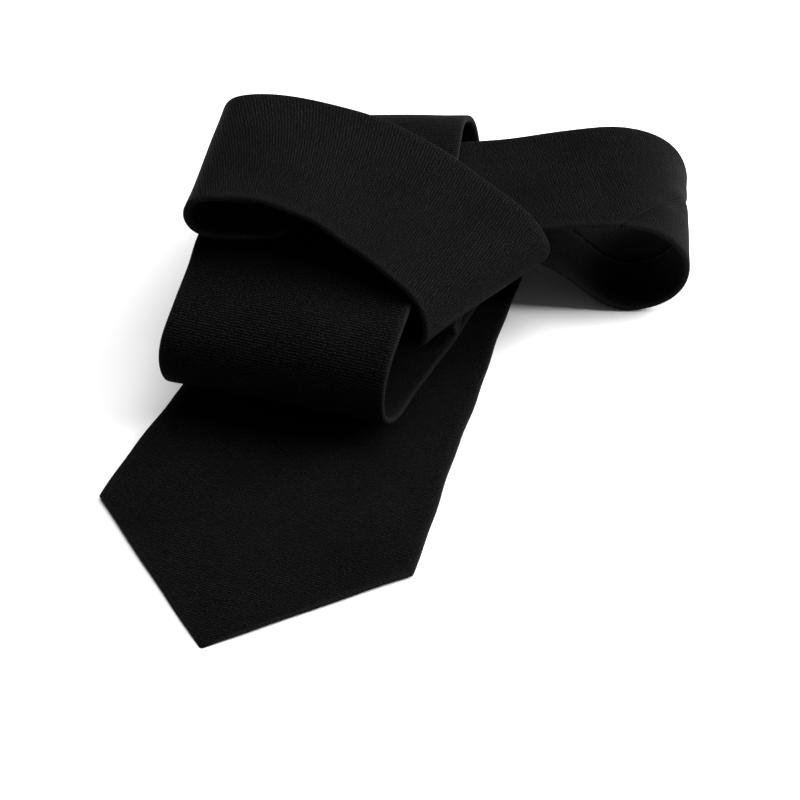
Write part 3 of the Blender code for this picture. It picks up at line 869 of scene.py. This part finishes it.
def interlinings(felt_cloth, thread):
    """The two lengths of interlining and the zigzag that joins them."""
    deep = INTERLINING / 2
    inset = 2 * INTERLINING_INSET
    gap = THREAD / 2 + GAP
    for name, node, start, end in (
            ("blade_core", "blade_interlining", inset, INTERLINING_SEAM - gap),
            ("tail_core", "tail_interlining", INTERLINING_SEAM + gap,
             PATH.length - inset)):
        piece, flat, area = strip(name, node, start, end, core_half,
                                  -deep, deep, felt_cloth)
    along, through = ZIGZAG
    across = np.linspace(-1, 1, ZIGZAG_POINTS) * float(core_half(INTERLINING_SEAM))
    zigzag = [(INTERLINING_SEAM + along * (-1) ** k, u, through * (-1) ** (k // 2))
              for k, u in enumerate(across)]
    threads("core_join_stitches", "interlining_seam", [zigzag], HEAVY_THREAD, thread)


def lining_half(s):
    return flap_gap(s) - TIPPING_INSET


def linings(cloth):
    """The lining behind each pointed end."""
    near = HEM + TIPPING_SETBACK
    far = FLAPS_MEET - TIPPING_STOPS
    low = BACK + TIPPING_LEVEL
    for name, node, start, end in (
            ("blade_lining", "blade_tipping", near, far),
            ("tail_lining", "tail_tipping", PATH.length - far, PATH.length - near)):
        piece, flat, area = strip(name, node, start, end, lining_half,
                                  low, low + LINING, cloth)


def sewing(thread):
    """All the threads of the shell."""
    hem_stitches("blade_hem_stitches", "blade_hem_stitch", 0.0, thread)
    hem_stitches("tail_hem_stitches", "tail_hem_stitch", PATH.length, thread)
    slip_stitches("slip_stitches", "slip_stitch_thread", thread)
    from_tip = FLAPS_MEET - BAR_TACK_AT
    bar_tack("blade_tack", "blade_bar_tack", from_tip, thread)
    bar_tack("tail_tack", "tail_bar_tack", PATH.length - from_tip, thread)
    seam_thread("blade_neck_stitches", "blade_neck_seam", BLADE_NECK_SEAM, thread)
    seam_thread("neck_tail_stitches", "neck_tail_seam", NECK_TAIL_SEAM, thread)


def labels(cloth):
    """The blank label patch and care tag on the blade's back."""
    for name, node, at, size in (("label", "label_patch", LABEL_AT, LABEL_SIZE),
                                 ("care_label", "care_tag", CARE_TAG_AT, CARE_TAG_SIZE)):
        across, along = size
        rows = np.linspace(at - along / 2, at + along / 2, LABEL_ROWS)
        piece, flat, area = strip(name, node, rows[0], rows[-1],
                                  lambda s: np.full(len(s), across / 2),
                                  BACK - GAP - LINING, BACK - GAP, cloth, rows)


def keeper(material):
    """Arched loop on the blade's back that the tail slides through."""
    across, along = KEEPER_SIZE
    t = np.linspace(0, 1, KEEPER_STEPS + 1)
    u = across * (t - 0.5)
    under = BACK - GAP - KEEPER_ARCH * np.sin(np.pi * t)
    ring_u = np.concatenate([u, u[::-1]])
    ring_v = np.concatenate([under - CLOTH, under[::-1]])
    s = np.linspace(KEEPER_AT - along / 2, KEEPER_AT + along / 2, KEEPER_ROWS)
    piece = swept("keeper", np.repeat(s[:, None], len(ring_u), 1),
                  np.tile(ring_u, (KEEPER_ROWS, 1)), np.tile(ring_v, (KEEPER_ROWS, 1)),
                  material)
    declare(piece, "keeper_loop")


def build_tie():
    # the blade's twill is darker, partly as painted shade for the front roll
    blade_twill = twill("blade_twill", *BLADE_TWILL)
    tail_twill = twill("tail_twill", *TAIL_TWILL)
    neck_twill = twill("neck_twill", *NECK_TWILL)
    lining_cloth = plain_cloth("lining_cloth", *LINING_CLOTH)
    label_satin = plain_cloth("label_satin", *LABEL_SATIN)
    thread = twisted_thread("sewing_thread", SEWING_THREAD)
    felt_cloth = felt("interlining_felt", CORE_FELT)

    shells(blade_twill, neck_twill, tail_twill)
    interlinings(felt_cloth, thread)
    linings(lining_cloth)
    sewing(thread)
    labels(label_satin)
    keeper(blade_twill)


# ------------------------------------------------------------ floor, light, camera
# lengths here are in metres
FLOOR_REACH = 3.0
FLOOR_TONE = 0.64
FLOOR_ROUGHNESS = 0.9
WORLD_LIGHT = 0.18
# where a softbox hangs, what it points at, its size, its power in watts
KEY_SOFTBOX = ((1.13, 0.22, 0.60), (0.02, 0.02, 0.02), (0.9, 0.8), 50.0)
TOP_SOFTBOX = ((0.20, 0.40, 1.30), (0.0, 0.0, 0.0), (1.2, 1.2), 39.0)
CAMERA_AIM = Vector((-4.1, -7.8, -1.1)) * MM
CAMERA_DISTANCE = 576.45 * MM
CAMERA_PITCH = math.radians(41.9)
CAMERA_SENSOR = 36.0         # mm
CAMERA_LENS = 90.0           # mm
CAMERA_CLIPS = (0.01, 20.0)


def build_camera():
    camera = bpy.data.cameras.new("camera")
    camera.sensor_width = CAMERA_SENSOR
    camera.lens = CAMERA_LENS
    camera.clip_start, camera.clip_end = CAMERA_CLIPS
    obj = bpy.data.objects.new("camera", camera)
    away = Vector((0.0, -math.cos(CAMERA_PITCH), math.sin(CAMERA_PITCH)))
    obj.location = CAMERA_AIM + away * CAMERA_DISTANCE
    obj.rotation_euler = (math.pi / 2 - CAMERA_PITCH, 0.0, 0.0)
    bpy.context.scene.collection.objects.link(obj)
    bpy.context.scene.camera = obj


def build_stage():
    reach = FLOOR_REACH
    mesh = bpy.data.meshes.new("floor")
    mesh.from_pydata([(-reach, -reach, 0), (reach, -reach, 0), (reach, reach, 0),
                      (-reach, reach, 0)], [], [(0, 1, 2, 3)])
    floor = bpy.data.objects.new("floor", mesh)
    bpy.context.scene.collection.objects.link(floor)
    material = bpy.data.materials.new("pale_floor")
    material.use_nodes = True
    inputs = material.node_tree.nodes["Principled BSDF"].inputs
    inputs["Base Color"].default_value = (FLOOR_TONE, FLOOR_TONE, FLOOR_TONE, 1.0)
    inputs["Roughness"].default_value = FLOOR_ROUGHNESS
    inputs["Specular IOR Level"].default_value = 0.0
    mesh.materials.append(material)

    world = bpy.data.worlds.new("studio")
    world.use_nodes = True
    background = world.node_tree.nodes["Background"]
    background.inputs["Color"].default_value = (1.0, 1.0, 1.0, 1.0)
    background.inputs["Strength"].default_value = WORLD_LIGHT
    bpy.context.scene.world = world
    bpy.context.scene.view_settings.view_transform = "Standard"


def soft_light(name, hangs_at, aim, size, power):
    light = bpy.data.lights.new(name, "AREA")
    light.shape = "RECTANGLE"
    light.size, light.size_y = size
    light.energy = power
    obj = bpy.data.objects.new(name, light)
    obj.location = hangs_at
    turn = (Vector(aim) - Vector(hangs_at)).to_track_quat("-Z", "Y")
    obj.rotation_euler = turn.to_euler()
    bpy.context.scene.collection.objects.link(obj)


def build_light():
    soft_light("key_softbox", *KEY_SOFTBOX)
    soft_light("top_softbox", *TOP_SOFTBOX)


build_camera()
build_stage()
build_light()
build_tie()
